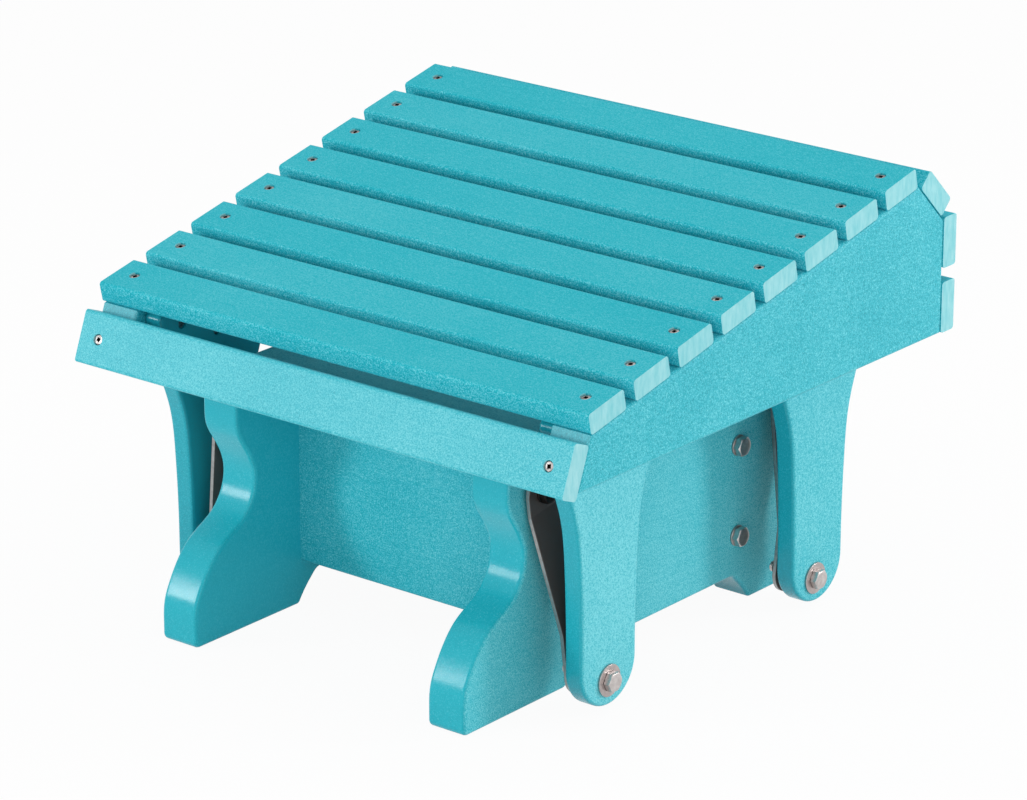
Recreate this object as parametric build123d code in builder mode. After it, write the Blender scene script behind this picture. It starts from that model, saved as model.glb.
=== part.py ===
"""Glider ottoman in poly-lumber boards: a slatted seat that swings on four steel links.

Millimetres, +Z up, front towards -Y.  The origin lies on the floor, in the middle of the footprint.
"""
import os
from math import cos, hypot, radians, sin, tan

from build123d import *

# ---- boards --------------------------------------------------------------------------------------
BOARD_THICK = 19.0            # slats, hanger legs and the top boards of the base
SLAT_WIDTH = 46.5
SLAT_GAP = 13.0
SLAT_EDGE_R = 3.0             # rounded long edges of a slat
SAWN_EDGE_R = 3.5             # rounded edges of every sawn outline

# ---- seat ----------------------------------------------------------------------------------------
SEAT_WIDTH = 533.4            # length of every slat
SEAT_SLOPE = 12.08            # degrees, rising to the back
SEAT_FRONT_Y = -236.9         # front top corner of the rails
TOP_SLATS = 8
BACK_SLATS = 2
RAIL_THICK = 41.0
RAIL_FRONT_HEIGHT = 45.9      # of the rail at its front top corner
RAIL_TOP_MARGIN = 3.1         # rail behind the last top slat
CHAMFER_ANGLE = 45.0          # degrees, falling to the back
CHAMFER_MARGIN_TOP = 3.5      # rail above the chamfer slat
CHAMFER_MARGIN_LOW = 6.3      # rail below it
APRON_TILT = 21.2             # degrees from upright, lower edge forward
APRON_DROP = 8.0              # apron's top edge below the rail's corner

# ---- hanger legs ---------------------------------------------------------------------------------
LEG_HALF = 39.0               # half width where the leg starts to widen
LEG_END_R = 36.5              # round lower end
LEG_NECK_RISE = 107.0         # from the pivot up to where the leg starts to widen
LEG_DROP = 201.0              # from the rail's lower edge down to the pivot
LEG_END_RISE = 13.5           # centre of the round end above the pivot
LEG_END_STRAIGHT = 20.0       # upright edge above it
LEG_SHIFT = {"front": 1.5, "rear": 5.0}   # middle of the leg behind its pivot
LEG_TOP_HALF = 74.0
LEG_TOP_GAP = 3.5             # below the slats
LEG_CORNER_R = 6.0            # top corners
LEG_FLARE = ((5.5, 0.31), (18.5, 0.58))   # widening, and its share of the height to the top
LEG_TOP_DIRECTION = (0.29, 0.96)   # of the edge where it meets the top
LEG_SCREWS = ((-44.0, 30.0), (0.0, 13.0), (44.0, 30.0))  # across the leg, above the rail's edge

# ---- base ----------------------------------------------------------------------------------------
BASE_CENTRE_Y = -13.0
PANEL_TO_LEG = 38.6           # from an end panel's outer face to the hanger legs beside it
PANEL_THICK = 39.0
PANEL_HEIGHT = 207.7
PANEL_TOP_HALF = 207.5
PANEL_WAIST_HALF = 185.2
PANEL_FOOT_HALF = 264.7
PANEL_SHOULDER_Z = 192.0      # the S-shaped edge starts here
PANEL_WAIST_Z = 137.0
PANEL_ANKLE_Z = 21.0          # and ends here
PANEL_S_UPPER = (0.48, 0.50)  # share of the way from shoulder to waist, across and down
PANEL_S_LOWER = ((0.16, 0.286), (0.569, 0.458), (0.905, 0.75))  # the same, waist to ankle
TOE_R = 6.0
ARCH_HALF_LOW = 130.0
ARCH_HALF_TOP = 100.0
ARCH_HEIGHT = 27.0
ARCH_CORNER_R = 5.0           # where the arch leaves the floor
ARCH_DIRECTION = (-1.0, 1.6)    # of the arch's edge where it leaves the floor
ARCH_BEND = ((0.33, 0.48), (0.63, 0.81))  # share of the way from the floor to the arch's top
TOP_BOARD_WIDTH = 133.0
STRETCHER_THICK = 38.0
STRETCHER_HEIGHT = 134.0
STRETCHER_SPREAD = 109.1      # base centre to each stretcher's middle
STRETCHER_FLOOR_GAP = 40.0
STRETCHER_BOLT_INSET = 25.0   # from its upper and lower edge

# ---- links ---------------------------------------------------------------------------------------
LINK_HALF = 19.0
LINK_THICK = 4.0
LINK_RISE = 162.0             # lower pivot to upper pivot, upright
LOWER_PIVOT_SPREAD = 146.5    # base centre to the pivots on the legs
UPPER_PIVOT_SPREAD = 170.6    # base centre to the pivots on the panels
UPPER_PIVOT_DROP = 17.7       # below the panel's top edge
LINK_LOW_FLAT = 42.5          # straight run above the lower pivot, before the joggle
LINK_HIGH_FLAT = 16.0         # straight run below the upper pivot
LINK_BEND_R = 9.0

# ---- hardware ------------------------------------------------------------------------------------
BOLT_R = 5.0
BOLT_HEAD_ACROSS = 16.5
BOLT_HEAD_HEIGHT = 6.4
BOLT_TIP_CHAMFER = 1.0
TIP_TAPER = 40.0              # degrees
BOLT_TIP = 5.0                # past the nut
NUT_ACROSS = 16.5
NUT_HEIGHT = 6.5
NUT_HEX_HEIGHT = 5.0
NUT_COLLAR_R = 7.6
WASHER_R = 15.0               # at the lower pivots
SMALL_WASHER_R = 10.0         # everywhere else
WASHER_THICK = 2.0
SPACER_R = 10.0
UPPER_SPACER = 2.9
LOWER_SPACER = 7.4
BUSH_R = 8.0
BUSH_FLANGE_R = 10.0
BUSH_FLANGE = 1.0
BARREL_R = 7.5
BARREL_LENGTH = 25.0
BARREL_INSET = 40.0           # from the stretcher's end
BOLT_PAST_BARREL = 12.0
INSERT_R = 7.5                # threaded insert that takes an upper pivot's bolt
INSERT_LENGTH = 25.0
BOLT_PAST_INSERT = 2.0
SCREW_R = 2.1
SCREW_HEAD_R = 4.25
SCREW_HEAD_HEIGHT = 3.0
SCREW_BITE = 20.0             # length in the piece that it holds to
SCREW_RECESS_R = 5.0
SCREW_RECESS = 4.0
SOCKET_SIZE = 2.8             # square drive
SOCKET_DEPTH = 1.6
BOARD_SCREW_PITCH = 90.0      # between the two screws at each end of a top board

# ---- clearances ----------------------------------------------------------------------------------
FIT = 0.05                    # round a screw, spacer or bush that sits still
BOLT_HOLE = 0.25              # round a bolt that sits still
RUNNING = 0.08                # bush on its bolt
OPEN_PIVOT = 1.2              # rear lower bushes, where the pivots wander a little
SIDE_PLAY = 0.3               # between a link and what it turns beside
DRILL_TIP = 1.0               # a blind hole is deeper than what it holds

# ---- heights, places across and key points that follow -------------------------------------------
RAIL_OUTER = SEAT_WIDTH / 2
RAIL_INNER = RAIL_OUTER - RAIL_THICK
LEG_INNER = RAIL_INNER - BOARD_THICK
SCREW_X = RAIL_OUTER - RAIL_THICK / 2
PANEL_OUTER = LEG_INNER - PANEL_TO_LEG
PANEL_INNER = PANEL_OUTER - PANEL_THICK
PANEL_MIDDLE = PANEL_OUTER - PANEL_THICK / 2
UPPER_PIVOT_Z = PANEL_HEIGHT - UPPER_PIVOT_DROP
LOWER_PIVOT_Z = UPPER_PIVOT_Z - LINK_RISE
RAIL_BOTTOM_Z = LOWER_PIVOT_Z + LEG_DROP
SEAT_FRONT_Z = RAIL_BOTTOM_Z + RAIL_FRONT_HEIGHT
SLAT_PITCH = SLAT_WIDTH + SLAT_GAP
LINK_LENGTH = hypot(LINK_RISE, UPPER_PIVOT_SPREAD - LOWER_PIVOT_SPREAD)
LINK_LOW_X = LEG_INNER - LOWER_SPACER - SIDE_PLAY - BUSH_FLANGE - LINK_THICK / 2
LINK_HIGH_X = PANEL_OUTER + UPPER_SPACER + SIDE_PLAY + BUSH_FLANGE + LINK_THICK / 2
SIDES = {"left": -1, "right": 1}
ENDS = {"front": -1, "rear": 1}
SIDE_NAMES = {side: name for name, side in SIDES.items()}
END_NAMES = {end: name for name, end in ENDS.items()}


def along(start, angle, distance):
    """Point at a distance from start, along an angle of the side view; points are (y, z)."""
    return start[0] + distance * cos(radians(angle)), start[1] + distance * sin(radians(angle))


APRON_ANGLE = 90 - APRON_TILT
RAIL_FRONT_TOP = (SEAT_FRONT_Y, SEAT_FRONT_Z)
RAIL_FRONT_LOW = along(RAIL_FRONT_TOP, APRON_ANGLE, -RAIL_FRONT_HEIGHT / cos(radians(APRON_TILT)))
RAIL_TOP_LENGTH = TOP_SLATS * SLAT_PITCH - SLAT_GAP + RAIL_TOP_MARGIN
RAIL_BACK_TOP = along(RAIL_FRONT_TOP, SEAT_SLOPE, RAIL_TOP_LENGTH)
CHAMFER_LENGTH = CHAMFER_MARGIN_TOP + SLAT_WIDTH + CHAMFER_MARGIN_LOW
RAIL_BACK_MIDDLE = along(RAIL_BACK_TOP, -CHAMFER_ANGLE, CHAMFER_LENGTH)
RAIL_BACK_LOW = (RAIL_BACK_MIDDLE[0], RAIL_BOTTOM_Z)
LEG_CORNER_Y = BASE_CENTRE_Y - LOWER_PIVOT_SPREAD + LEG_SHIFT["front"] - LEG_TOP_HALF
LEG_TOP_Z = SEAT_FRONT_Z + (LEG_CORNER_Y - SEAT_FRONT_Y) * tan(radians(SEAT_SLOPE)) - LEG_TOP_GAP
NECK_Z = LOWER_PIVOT_Z + LEG_NECK_RISE
LEG_END_Z = LOWER_PIVOT_Z + LEG_END_RISE


def save(builder, name):
    """Label a finished piece and write it."""
    builder.part.label = name
    export_step(builder.part, f"parts/{name}.step")


def side_view(x, y=0.0, z=0.0):
    """Plane facing +X, where the sketch's own axes are Y and Z."""
    return Plane(origin=(x, y, z), x_dir=(0, 1, 0), z_dir=(1, 0, 0))


def inner_x(side, inner, thick):
    """Lower X bound of a board that lies from inner to inner + thick on either side."""
    return inner if side > 0 else -inner - thick


def corners(spread):
    """Side, end, and Y of the four places that lie this far in front of and behind the base's middle."""
    return [(side, end, BASE_CENTRE_Y + end * spread) for end in ENDS.values() for side in SIDES.values()]


def leg_screw_places(end_name):
    """Y and Z of the screws in a hanger leg."""
    middle = BASE_CENTRE_Y + ENDS[end_name] * LOWER_PIVOT_SPREAD + LEG_SHIFT[end_name]
    return [(middle + across, RAIL_BOTTOM_Z + rise) for across, rise in LEG_SCREWS]


# ---- where the seat's boards lie -----------------------------------------------------------------
def seat_boards():
    """Name, start of the under side and angle of each board across the rails, front to back."""
    boards = {"front_apron": (along(RAIL_FRONT_TOP, APRON_ANGLE, -APRON_DROP - SLAT_WIDTH), APRON_ANGLE)}
    for number in range(TOP_SLATS):
        start = along(RAIL_FRONT_TOP, SEAT_SLOPE, number * SLAT_PITCH)
        boards[f"top_slat_{number + 1}"] = (start, SEAT_SLOPE)
    boards["chamfer_slat"] = (along(RAIL_BACK_TOP, -CHAMFER_ANGLE, CHAMFER_MARGIN_TOP), -CHAMFER_ANGLE)
    for number in range(BACK_SLATS):
        top_z = RAIL_BOTTOM_Z + (BACK_SLATS - number) * SLAT_PITCH - SLAT_GAP
        boards[f"back_slat_{number + 1}"] = ((RAIL_BACK_LOW[0], top_z), -90.0)
    return boards


def board_section(start, angle):
    """Plane of a board's cross section: its axes run along the width and out through the face."""
    (y, z), turn = start, radians(angle)
    return Plane(origin=(0, y, z), x_dir=(0, cos(turn), sin(turn)), z_dir=(1, 0, 0))


def board_face(start, angle, height, x):
    """Plane on a board's middle line, at a height over its under side, facing outwards."""
    y, z = along(along(start, angle, SLAT_WIDTH / 2), angle + 90, height)
    turn = radians(angle)
    return Plane(origin=(x, y, z), x_dir=(1, 0, 0), z_dir=(0, -sin(turn), cos(turn)))


# ---- fasteners and holes, drawn on a plane that faces away from what they hold -------------------
def stand_up(section, height, taper=0.0, mode=Mode.ADD):
    """Extrude a finished sketch into the piece that is being built."""
    extrude(section.sketch, amount=height, taper=taper, mode=mode)


def round_bar(plane, radius, length):
    """Round bar that stands on the plane, or runs in behind it where the length is negative."""
    with BuildSketch(plane) as section:
        Circle(radius)
    stand_up(section, length)


def drill(plane, radius, depth):
    """Round hole going in from the plane."""
    with BuildSketch(plane) as section:
        Circle(radius)
    stand_up(section, -depth, mode=Mode.SUBTRACT)


def hexagon(plane, across, height):
    """Hex head or nut blank that stands on the plane."""
    with BuildSketch(plane) as section:
        RegularPolygon(across / 2, 6, major_radius=False)
    stand_up(section, height)


def ring(plane, outer_r, inner_r, thick):
    """Washer, spacer or plain tube that stands on the plane."""
    with BuildSketch(plane) as section:
        Circle(outer_r)
        Circle(inner_r, mode=Mode.SUBTRACT)
    stand_up(section, thick)


def screw(plane, grip):
    """Screw with a square drive; plane is the seat of its head, grip the board under the head."""
    round_bar(plane, SCREW_R, -grip - SCREW_BITE)
    round_bar(plane, SCREW_HEAD_R, SCREW_HEAD_HEIGHT)
    with BuildSketch(plane.offset(SCREW_HEAD_HEIGHT)) as socket:
        Rectangle(SOCKET_SIZE, SOCKET_SIZE)
    stand_up(socket, -SOCKET_DEPTH, mode=Mode.SUBTRACT)


def screw_hole(plane, through):
    """Recessed hole through the board under the plane."""
    drill(plane, SCREW_RECESS_R, SCREW_RECESS)
    drill(plane, SCREW_R + FIT, through)


def pilot_hole(plane):
    """Blind hole for the end of a screw."""
    drill(plane, SCREW_R + FIT, SCREW_BITE + DRILL_TIP)


def bolt(plane, length):
    """Hex bolt; plane is the seat of its head and the shank runs away behind it."""
    round_bar(plane, BOLT_R, -length + BOLT_TIP_CHAMFER)
    with BuildSketch(plane.offset(BOLT_TIP_CHAMFER - length)) as tip:
        Circle(BOLT_R)
    stand_up(tip, -BOLT_TIP_CHAMFER, taper=TIP_TAPER)
    hexagon(plane, BOLT_HEAD_ACROSS, BOLT_HEAD_HEIGHT)


def nut(plane):
    """Hex nut that stands on the plane, with the round collar of a locking nut."""
    hexagon(plane, NUT_ACROSS, NUT_HEX_HEIGHT)
    round_bar(plane.offset(NUT_HEX_HEIGHT), NUT_COLLAR_R, NUT_HEIGHT - NUT_HEX_HEIGHT)
    drill(plane.offset(NUT_HEIGHT), BOLT_R + FIT, NUT_HEIGHT)


def facing(side, x, y, z):
    """Plane at a place, facing outwards on its side: side 1 faces +X and -1 faces -X."""
    return Plane(origin=(side * x, y, z), x_dir=(0, side, 0), z_dir=(side, 0, 0))


os.makedirs("parts", exist_ok=True)
BOARDS = seat_boards()

# ---- seat: the twelve boards across the rails ----------------------------------------------------
for board_name, (board_start, board_angle) in BOARDS.items():
    with BuildPart() as board:
        with BuildSketch(board_section(board_start, board_angle)):
            with Locations((SLAT_WIDTH / 2, BOARD_THICK / 2)):
                RectangleRounded(SLAT_WIDTH, BOARD_THICK, SLAT_EDGE_R)
        extrude(amount=SEAT_WIDTH / 2, both=True)
        for side in SIDES.values():
            with Locations(board_face(board_start, board_angle, BOARD_THICK, side * SCREW_X)):
                CounterBoreHole(SCREW_R + FIT, SCREW_RECESS_R, SCREW_RECESS, BOARD_THICK)
    save(board, board_name)

# ---- seat: rails ---------------------------------------------------------------------------------
for side_name, side in SIDES.items():
    rail_x = inner_x(side, RAIL_INNER, RAIL_THICK)
    with BuildPart() as rail:
        with BuildSketch(side_view(rail_x)):
            with BuildLine():
                Polyline(RAIL_FRONT_LOW, RAIL_FRONT_TOP, RAIL_BACK_TOP, RAIL_BACK_MIDDLE, RAIL_BACK_LOW,
                         close=True)
            make_face()
        extrude(amount=RAIL_THICK)
        fillet(rail.faces().filter_by(Axis.X).edges(), SAWN_EDGE_R)
        for start, angle in BOARDS.values():
            pilot_hole(board_face(start, angle, 0, side * SCREW_X))
        for end_name in ENDS:
            for place in leg_screw_places(end_name):
                pilot_hole(facing(-side, -RAIL_INNER, *place))
    save(rail, f"seat_rail_{side_name}")

# ---- seat: hanger legs ---------------------------------------------------------------------------
LEG_FLARE_POINTS = [(LEG_HALF + out, NECK_Z + share * (LEG_TOP_Z - NECK_Z)) for out, share in LEG_FLARE]
for side, end, pivot_y in corners(LOWER_PIVOT_SPREAD):
    end_name = END_NAMES[end]
    leg_plane = side_view(inner_x(side, LEG_INNER, BOARD_THICK), pivot_y + LEG_SHIFT[end_name])
    with BuildPart() as leg:
        with BuildSketch(leg_plane) as sawn:
            with BuildLine():
                CenterArc((0, LEG_END_Z), LEG_END_R, -90, 90)
                Line((LEG_END_R, LEG_END_Z), (LEG_END_R, LEG_END_Z + LEG_END_STRAIGHT))
                Spline((LEG_END_R, LEG_END_Z + LEG_END_STRAIGHT), (LEG_HALF, NECK_Z), *LEG_FLARE_POINTS,
                       (LEG_TOP_HALF, LEG_TOP_Z), tangents=[(0, 1), LEG_TOP_DIRECTION])
                Line((LEG_TOP_HALF, LEG_TOP_Z), (0, LEG_TOP_Z))
                mirror(about=Plane.YZ)
            make_face()
            top_corners = sawn.vertices().group_by(Axis.Y)[-1].filter_by(lambda v: abs(v.X) > LEG_HALF)
            fillet(top_corners, LEG_CORNER_R)
        extrude(amount=BOARD_THICK)
        fillet(leg.faces().filter_by(Axis.X).edges(), SAWN_EDGE_R)
        drill(facing(side, RAIL_INNER, pivot_y, LOWER_PIVOT_Z), BOLT_R + BOLT_HOLE, BOARD_THICK)
        for place in leg_screw_places(end_name):
            screw_hole(facing(-side, -LEG_INNER, *place), BOARD_THICK)
    save(leg, f"hanger_leg_{end_name}_{SIDE_NAMES[side]}")

# ---- seat: screws --------------------------------------------------------------------------------
with BuildPart() as slat_screws:
    for start, angle in BOARDS.values():
        for side in SIDES.values():
            head_seat = board_face(start, angle, BOARD_THICK - SCREW_RECESS, side * SCREW_X)
            screw(head_seat, BOARD_THICK - SCREW_RECESS)
save(slat_screws, "slat_screws")

with BuildPart() as leg_screws:
    for end_name in ENDS:
        for side in SIDES.values():
            for place in leg_screw_places(end_name):
                screw(facing(-side, -LEG_INNER - SCREW_RECESS, *place), BOARD_THICK - SCREW_RECESS)
save(leg_screws, "leg_screws")

# ---- base: end panels ----------------------------------------------------------------------------
def share_of(start, finish, shares):
    """Points at shares of the way from start to finish, given apart for across and up."""
    return [(start[0] + u * (finish[0] - start[0]), start[1] + v * (finish[1] - start[1]))
            for u, v in shares]


STRETCHER_BOLTS_Z = (STRETCHER_FLOOR_GAP + STRETCHER_BOLT_INSET,
                     STRETCHER_FLOOR_GAP + STRETCHER_HEIGHT - STRETCHER_BOLT_INSET)
TOP_BOARD_SPREAD = PANEL_TOP_HALF - TOP_BOARD_WIDTH / 2
BOARD_SCREWS_Y = [BASE_CENTRE_Y + end * TOP_BOARD_SPREAD + step * BOARD_SCREW_PITCH / 2
                  for end in ENDS.values() for step in (-1, 1)]

for side_name, side in SIDES.items():
    shoulder = (PANEL_TOP_HALF, PANEL_SHOULDER_Z)
    waist = (PANEL_WAIST_HALF, PANEL_WAIST_Z)
    ankle = (PANEL_FOOT_HALF, PANEL_ANKLE_Z)
    with BuildPart() as panel:
        with BuildSketch(side_view(inner_x(side, PANEL_INNER, PANEL_THICK), BASE_CENTRE_Y)) as sawn:
            with BuildLine():
                Polyline((0, PANEL_HEIGHT), (PANEL_TOP_HALF, PANEL_HEIGHT), shoulder)
                Spline(shoulder, *share_of(shoulder, waist, [PANEL_S_UPPER]), waist,
                       *share_of(waist, ankle, PANEL_S_LOWER), ankle, tangents=[(0, -1), (0, -1)])
                Line(ankle, (PANEL_FOOT_HALF, TOE_R))
                RadiusArc((PANEL_FOOT_HALF, TOE_R), (PANEL_FOOT_HALF - TOE_R, 0), TOE_R)
                Line((PANEL_FOOT_HALF - TOE_R, 0), (ARCH_HALF_LOW, 0))
                arch_low = (ARCH_HALF_LOW, 0)
                arch_top = (ARCH_HALF_TOP, ARCH_HEIGHT)
                Spline(arch_low, *share_of(arch_low, arch_top, ARCH_BEND), arch_top,
                       tangents=[ARCH_DIRECTION, (-1, 0)])
                Line(arch_top, (0, ARCH_HEIGHT))
                mirror(about=Plane.YZ)
            make_face()
            arch_corners = sawn.vertices().group_by(Axis.Y)[0].sort_by(lambda v: abs(v.X))[:2]
            fillet(arch_corners, ARCH_CORNER_R)
        extrude(amount=PANEL_THICK)
        fillet(panel.faces().filter_by(Axis.X).edges(), SAWN_EDGE_R)
        for end in ENDS.values():
            pivot = facing(side, PANEL_OUTER, BASE_CENTRE_Y + end * UPPER_PIVOT_SPREAD, UPPER_PIVOT_Z)
            drill(pivot, INSERT_R + FIT, INSERT_LENGTH)
            drill(pivot, BOLT_R + BOLT_HOLE, INSERT_LENGTH + BOLT_PAST_INSERT + DRILL_TIP)
            for bolt_z in STRETCHER_BOLTS_Z:
                bolt_y = BASE_CENTRE_Y + end * STRETCHER_SPREAD
                drill(facing(side, PANEL_OUTER, bolt_y, bolt_z), BOLT_R + BOLT_HOLE, PANEL_THICK)
        for screw_y in BOARD_SCREWS_Y:
            pilot_hole(Plane(origin=(side * PANEL_MIDDLE, screw_y, PANEL_HEIGHT)))
    save(panel, f"base_panel_{side_name}")

# ---- base: stretchers between the panels, with barrel nuts let in from the inside ----------------
BARREL_X = PANEL_INNER - BARREL_INSET
for end_name, end in ENDS.items():
    stretcher_y = BASE_CENTRE_Y + end * STRETCHER_SPREAD
    with BuildPart() as stretcher:
        with BuildSketch(Plane.YZ.offset(-PANEL_INNER)):
            with Locations((stretcher_y, STRETCHER_FLOOR_GAP + STRETCHER_HEIGHT / 2)):
                RectangleRounded(STRETCHER_THICK, STRETCHER_HEIGHT, SAWN_EDGE_R)
        extrude(amount=2 * PANEL_INNER)
        for side in SIDES.values():
            for bolt_z in STRETCHER_BOLTS_Z:
                bore = BARREL_INSET + BOLT_PAST_BARREL + DRILL_TIP
                drill(facing(side, PANEL_INNER, stretcher_y, bolt_z), BOLT_R + BOLT_HOLE, bore)
                inside = Plane(origin=(side * BARREL_X, stretcher_y - end * STRETCHER_THICK / 2, bolt_z),
                               z_dir=(0, -end, 0))
                drill(inside, BARREL_R + FIT, (STRETCHER_THICK + BARREL_LENGTH) / 2)
    save(stretcher, f"base_stretcher_{end_name}")

with BuildPart() as barrel_nuts:
    for side, end, bolt_y in corners(STRETCHER_SPREAD):
        for bolt_z in STRETCHER_BOLTS_Z:
            with BuildSketch(Plane(origin=(side * BARREL_X, bolt_y, bolt_z), z_dir=(0, -end, 0))):
                Circle(BARREL_R)
            extrude(amount=BARREL_LENGTH / 2, both=True)
            drill(facing(side, BARREL_X + BARREL_R, bolt_y, bolt_z), BOLT_R + FIT, 2 * BARREL_R)
save(barrel_nuts, "stretcher_barrel_nuts")

with BuildPart() as stretcher_washers:
    for side, end, bolt_y in corners(STRETCHER_SPREAD):
        for bolt_z in STRETCHER_BOLTS_Z:
            seat = facing(side, PANEL_OUTER, bolt_y, bolt_z)
            ring(seat, SMALL_WASHER_R, BOLT_R + FIT, WASHER_THICK)
save(stretcher_washers, "stretcher_washers")

with BuildPart() as stretcher_bolts:
    for side, end, bolt_y in corners(STRETCHER_SPREAD):
        for bolt_z in STRETCHER_BOLTS_Z:
            length = WASHER_THICK + PANEL_THICK + BARREL_INSET + BOLT_PAST_BARREL
            bolt(facing(side, PANEL_OUTER + WASHER_THICK, bolt_y, bolt_z), length)
save(stretcher_bolts, "stretcher_bolts")

# ---- base: top boards ----------------------------------------------------------------------------
for end_name, end in ENDS.items():
    board_y = BASE_CENTRE_Y + end * TOP_BOARD_SPREAD
    with BuildPart() as top_board:
        with BuildSketch(Plane.YZ.offset(-PANEL_OUTER)):
            with Locations((board_y, PANEL_HEIGHT + BOARD_THICK / 2)):
                RectangleRounded(TOP_BOARD_WIDTH, BOARD_THICK, SLAT_EDGE_R)
        extrude(amount=2 * PANEL_OUTER)
        for side in SIDES.values():
            for step in (-1, 1):
                place = (side * PANEL_MIDDLE, board_y + step * BOARD_SCREW_PITCH / 2)
                screw_hole(Plane(origin=(*place, PANEL_HEIGHT + BOARD_THICK)), BOARD_THICK)
    save(top_board, f"base_top_board_{end_name}")

with BuildPart() as top_board_screws:
    for side in SIDES.values():
        for screw_y in BOARD_SCREWS_Y:
            head_z = PANEL_HEIGHT + BOARD_THICK - SCREW_RECESS
            screw(Plane(origin=(side * PANEL_MIDDLE, screw_y, head_z)), BOARD_THICK - SCREW_RECESS)
save(top_board_screws, "top_board_screws")

# ---- upper pivots: a bolt and a washer outside each link, a spacer, and an insert in the panel ---
UPPER_WASHER_X = LINK_HIGH_X + LINK_THICK / 2 + SIDE_PLAY
UPPER_HEAD_X = UPPER_WASHER_X + WASHER_THICK
UPPER_PLACES = [(side, pivot_y) for side, end, pivot_y in corners(UPPER_PIVOT_SPREAD)]

with BuildPart() as upper_inserts:
    for side, pivot_y in UPPER_PLACES:
        blind_end = facing(side, PANEL_OUTER - INSERT_LENGTH, pivot_y, UPPER_PIVOT_Z)
        ring(blind_end, INSERT_R, BOLT_R + FIT, INSERT_LENGTH)
save(upper_inserts, "upper_pivot_inserts")

with BuildPart() as upper_spacers:
    for side, pivot_y in UPPER_PLACES:
        ring(facing(side, PANEL_OUTER, pivot_y, UPPER_PIVOT_Z), SPACER_R, BOLT_R + FIT, UPPER_SPACER)
save(upper_spacers, "upper_pivot_spacers")

with BuildPart() as upper_washers:
    for side, pivot_y in UPPER_PLACES:
        ring(facing(side, UPPER_WASHER_X, pivot_y, UPPER_PIVOT_Z), SMALL_WASHER_R, BOLT_R + FIT, WASHER_THICK)
save(upper_washers, "upper_pivot_washers")

with BuildPart() as upper_bolts:
    for side, pivot_y in UPPER_PLACES:
        length = UPPER_HEAD_X - PANEL_OUTER + INSERT_LENGTH + BOLT_PAST_INSERT
        bolt(facing(side, UPPER_HEAD_X, pivot_y, UPPER_PIVOT_Z), length)
save(upper_bolts, "upper_pivot_bolts")

# ---- lower pivots: a bolt through each hanger leg, then a spacer, the link, a washer and a nut ---
LOWER_WASHER_X = LINK_LOW_X - LINK_THICK / 2 - SIDE_PLAY
LOWER_NUT_X = LOWER_WASHER_X - WASHER_THICK
LOWER_HEAD_X = RAIL_INNER + WASHER_THICK
LOWER_PLACES = [(side, pivot_y) for side, end, pivot_y in corners(LOWER_PIVOT_SPREAD)]

with BuildPart() as lower_spacers:
    for side, pivot_y in LOWER_PLACES:
        ring(facing(-side, -LEG_INNER, pivot_y, LOWER_PIVOT_Z), SPACER_R, BOLT_R + FIT, LOWER_SPACER)
save(lower_spacers, "lower_pivot_spacers")

with BuildPart() as lower_washers:
    for side, pivot_y in LOWER_PLACES:
        for seat in (facing(side, RAIL_INNER, pivot_y, LOWER_PIVOT_Z),
                     facing(-side, -LOWER_WASHER_X, pivot_y, LOWER_PIVOT_Z)):
            ring(seat, WASHER_R, BOLT_R + FIT, WASHER_THICK)
save(lower_washers, "lower_pivot_washers")

with BuildPart() as lower_nuts:
    for side, pivot_y in LOWER_PLACES:
        nut(facing(-side, -LOWER_NUT_X, pivot_y, LOWER_PIVOT_Z))
save(lower_nuts, "lower_pivot_nuts")

with BuildPart() as lower_bolts:
    for side, pivot_y in LOWER_PLACES:
        length = LOWER_HEAD_X - LOWER_NUT_X + NUT_HEIGHT + BOLT_TIP
        bolt(facing(side, LOWER_HEAD_X, pivot_y, LOWER_PIVOT_Z), length)
save(lower_bolts, "lower_pivot_bolts")

# ---- links: joggled flat bars, each with a flanged bush at either end ----------------------------
LINK_PATH = ((LINK_LOW_X, -LINK_HALF), (LINK_LOW_X, LINK_LOW_FLAT),
             (LINK_HIGH_X, LINK_LENGTH - LINK_HIGH_FLAT), (LINK_HIGH_X, LINK_LENGTH + LINK_HALF))
for side, end, low_y in corners(LOWER_PIVOT_SPREAD):
    link_name = f"link_{END_NAMES[end]}_{SIDE_NAMES[side]}"
    high_y = BASE_CENTRE_Y + end * UPPER_PIVOT_SPREAD
    foot = (0, low_y, LOWER_PIVOT_Z)
    edge_on = Plane(origin=foot, x_dir=(1, 0, 0), z_dir=(0, -LINK_RISE, high_y - low_y))
    face_on = Plane(origin=foot, x_dir=(0, high_y - low_y, LINK_RISE), z_dir=(1, 0, 0))
    with BuildPart() as link:
        with BuildSketch(edge_on):
            with BuildLine():
                FilletPolyline(*[(side * x, rise) for x, rise in LINK_PATH], radius=LINK_BEND_R)
            trace(line_width=LINK_THICK)
        extrude(amount=LINK_HALF, both=True)
        with BuildSketch(face_on):
            with Locations((LINK_LENGTH / 2, 0)):
                SlotCenterToCenter(LINK_LENGTH, 2 * LINK_HALF)
            with Locations((0, 0), (LINK_LENGTH, 0)):
                Circle(BUSH_R + FIT, mode=Mode.SUBTRACT)
        extrude(amount=SEAT_WIDTH, both=True, mode=Mode.INTERSECT)
    save(link, link_name)

    low_play = OPEN_PIVOT if end == ENDS["rear"] else RUNNING
    low_face = facing(side, LINK_LOW_X - LINK_THICK / 2, low_y, LOWER_PIVOT_Z)
    high_face = facing(-side, -LINK_HIGH_X - LINK_THICK / 2, high_y, UPPER_PIVOT_Z)
    with BuildPart() as bushes:
        for seat, play in ((low_face, low_play), (high_face, RUNNING)):
            ring(seat, BUSH_R, BOLT_R + play, LINK_THICK)
            ring(seat.offset(LINK_THICK), BUSH_FLANGE_R, BOLT_R + play, BUSH_FLANGE)
    save(bushes, f"{link_name}_bushes")
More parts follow.
